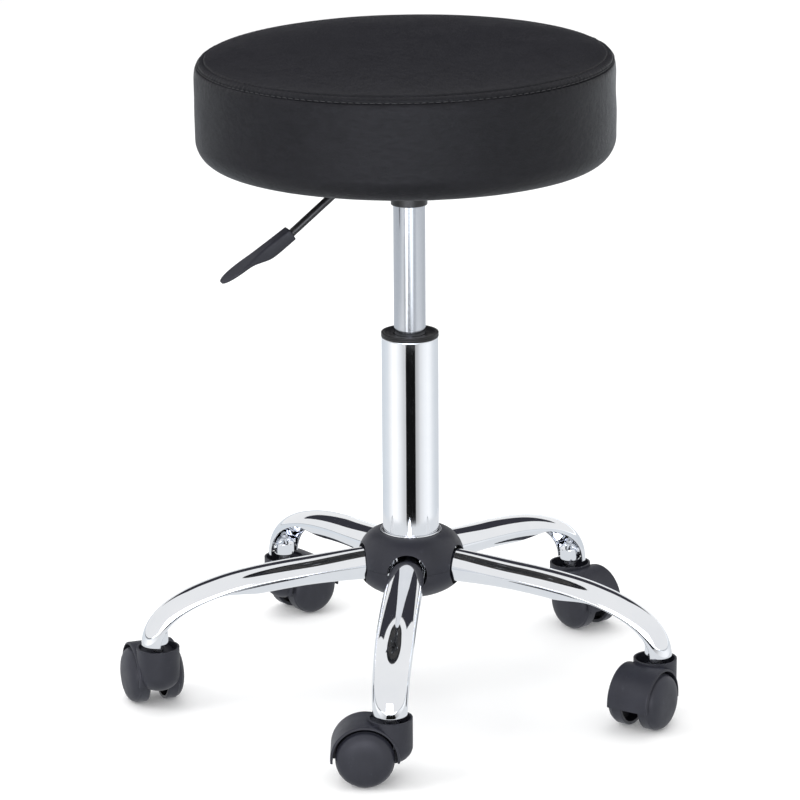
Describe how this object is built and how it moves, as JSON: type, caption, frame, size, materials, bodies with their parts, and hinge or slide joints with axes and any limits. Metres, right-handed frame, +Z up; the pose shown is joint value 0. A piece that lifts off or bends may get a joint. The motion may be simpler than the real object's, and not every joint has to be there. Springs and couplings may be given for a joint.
{
  "type": "rolling salon stool",
  "caption": "Round padded stool with black vinyl seat, gas lift column, release lever and chromed star base on twin-wheel casters.",
  "frame": {"origin": "on the floor, under the middle of the whole stool's outline; the column's axis stands 9 mm from it because the casters point different ways", "axes": "+Z up along the column; +X and +Y are level, with the release lever towards the corner between -X and -Y"},
  "size_m": [0.4876, 0.4928, 0.585],
  "materials": {
    "black_vinyl": "satin",
    "foam": "matte",
    "plywood": "matte",
    "chrome": "polished",
    "zinc_plate": "satin",
    "dark_grey_plastic": "satin",
    "black_plastic": "satin",
    "black_painted_steel": "satin",
    "rubber": "matte"
  },
  "bodies": {
    "base": {"outer_column": "chrome", "guide_bushing": "black_plastic", "column_cap": "black_plastic", "base_hub": "chrome", "hub_cover_upper": "dark_grey_plastic", "hub_cover_lower": "dark_grey_plastic", "leg_1": "chrome", "leg_2": "chrome", "leg_3": "chrome", "leg_4": "chrome", "leg_5": "chrome", "caster_socket_1": "chrome", "caster_socket_2": "chrome", "caster_socket_3": "chrome", "caster_socket_4": "chrome", "caster_socket_5": "chrome", "caster_stem_1": "zinc_plate", "caster_stem_2": "zinc_plate", "caster_stem_3": "zinc_plate", "caster_stem_4": "zinc_plate", "caster_stem_5": "zinc_plate"},
    "spindle": {"piston_rod": "zinc_plate", "thrust_bearing": "zinc_plate", "rubber_bumper": "rubber", "retaining_clip": "zinc_plate"},
    "seat": {"seat_cover": "black_vinyl", "seat_foam": "foam", "seat_board": "plywood", "seat_plate": "black_painted_steel", "seat_bolt_1": "zinc_plate", "seat_bolt_2": "zinc_plate", "seat_bolt_3": "zinc_plate", "seat_bolt_4": "zinc_plate", "gas_receiver": "black_painted_steel", "gas_cylinder": "zinc_plate", "lever_pivot_pin": "zinc_plate"},
    "lever": {"lever_rod": "black_painted_steel", "lever_paddle": "dark_grey_plastic"},
    "release_button": {"release_pin": "zinc_plate"},
    "caster_1": {"caster_hood_1": "dark_grey_plastic", "caster_axle_1": "zinc_plate"},
    "left_wheel_1": {"wheel_left_1": "dark_grey_plastic"},
    "right_wheel_1": {"wheel_right_1": "dark_grey_plastic"},
    "caster_2": {"caster_hood_2": "dark_grey_plastic", "caster_axle_2": "zinc_plate"},
    "left_wheel_2": {"wheel_left_2": "dark_grey_plastic"},
    "right_wheel_2": {"wheel_right_2": "dark_grey_plastic"},
    "caster_3": {"caster_hood_3": "dark_grey_plastic", "caster_axle_3": "zinc_plate"},
    "left_wheel_3": {"wheel_left_3": "dark_grey_plastic"},
    "right_wheel_3": {"wheel_right_3": "dark_grey_plastic"},
    "caster_4": {"caster_hood_4": "dark_grey_plastic", "caster_axle_4": "zinc_plate"},
    "left_wheel_4": {"wheel_left_4": "dark_grey_plastic"},
    "right_wheel_4": {"wheel_right_4": "dark_grey_plastic"},
    "caster_5": {"caster_hood_5": "dark_grey_plastic", "caster_axle_5": "zinc_plate"},
    "left_wheel_5": {"wheel_left_5": "dark_grey_plastic"},
    "right_wheel_5": {"wheel_right_5": "dark_grey_plastic"}
  },
  "joints": [
    {"name": "seat_swivel", "type": "hinge", "parent": "base", "child": "spindle", "pos_m": [-0.0067, -0.0062, 0.0978], "axis": [0, 0, 1], "continuous": true},
    {"name": "seat_height", "type": "slide", "parent": "spindle", "child": "seat", "axis": [0, 0, 1], "range_m": [-0.105, 0.015]},
    {"name": "lever_pivot", "type": "hinge", "parent": "seat", "child": "lever", "pos_m": [-0.01977, -0.02633, 0.47], "axis": [-0.8387, 0.5446, 0], "range_deg": [0, 6], "stiffness_Nm_per_rad": 1},
    {"name": "release_press", "type": "slide", "parent": "seat", "child": "release_button", "axis": [0, 0, 1], "range_m": [-0.003, 0], "stiffness_N_per_m": 400},
    {"name": "caster_swivel_1", "type": "hinge", "parent": "base", "child": "caster_1", "pos_m": [0.11671, -0.20029, 0.045], "axis": [0, 0, 1], "continuous": true},
    {"name": "left_wheel_spin_1", "type": "hinge", "parent": "caster_1", "child": "left_wheel_1", "pos_m": [0.09994, -0.21293, 0.025], "axis": [0.6018, -0.7986, 0], "continuous": true},
    {"name": "right_wheel_spin_1", "type": "hinge", "parent": "caster_1", "child": "right_wheel_1", "pos_m": [0.09994, -0.21293, 0.025], "axis": [0.6018, -0.7986, 0], "continuous": true},
    {"name": "caster_swivel_2", "type": "hinge", "parent": "base", "child": "caster_2", "pos_m": [0.21602, 0.05119, 0.045], "axis": [0, 0, 1], "continuous": true},
    {"name": "left_wheel_spin_2", "type": "hinge", "parent": "caster_2", "child": "left_wheel_2", "pos_m": [0.21749, 0.03024, 0.025], "axis": [0.9976, 0.0698, 0], "continuous": true},
    {"name": "right_wheel_spin_2", "type": "hinge", "parent": "caster_2", "child": "right_wheel_2", "pos_m": [0.21749, 0.03024, 0.025], "axis": [0.9976, 0.0698, 0], "continuous": true},
    {"name": "caster_swivel_3", "type": "hinge", "parent": "base", "child": "caster_3", "pos_m": [0.00754, 0.22336, 0.045], "axis": [0, 0, 1], "continuous": true},
    {"name": "left_wheel_spin_3", "type": "hinge", "parent": "caster_3", "child": "left_wheel_3", "pos_m": [0.028, 0.21863, 0.025], "axis": [0.225, 0.9744, 0], "continuous": true},
    {"name": "right_wheel_spin_3", "type": "hinge", "parent": "caster_3", "child": "right_wheel_3", "pos_m": [0.028, 0.21863, 0.025], "axis": [0.225, 0.9744, 0], "continuous": true},
    {"name": "caster_swivel_4", "type": "hinge", "parent": "base", "child": "caster_4", "pos_m": [-0.22062, 0.07828, 0.045], "axis": [0, 0, 1], "continuous": true},
    {"name": "left_wheel_spin_4", "type": "hinge", "parent": "caster_4", "child": "left_wheel_4", "pos_m": [-0.2159, 0.09874, 0.025], "axis": [-0.9744, 0.225, 0], "continuous": true},
    {"name": "right_wheel_spin_4", "type": "hinge", "parent": "caster_4", "child": "right_wheel_4", "pos_m": [-0.2159, 0.09874, 0.025], "axis": [-0.9744, 0.225, 0], "continuous": true},
    {"name": "caster_swivel_5", "type": "hinge", "parent": "base", "child": "caster_5", "pos_m": [-0.15315, -0.18355, 0.045], "axis": [0, 0, 1], "continuous": true},
    {"name": "left_wheel_spin_5", "type": "hinge", "parent": "caster_5", "child": "left_wheel_5", "pos_m": [-0.17077, -0.17211, 0.025], "axis": [-0.5446, -0.8387, 0], "continuous": true},
    {"name": "right_wheel_spin_5", "type": "hinge", "parent": "caster_5", "child": "right_wheel_5", "pos_m": [-0.17077, -0.17211, 0.025], "axis": [-0.5446, -0.8387, 0], "continuous": true}
  ],
  "couplings": [
    {"joint": "release_press", "follows": "lever_pivot", "m_per_rad": -0.0265}
  ]
}
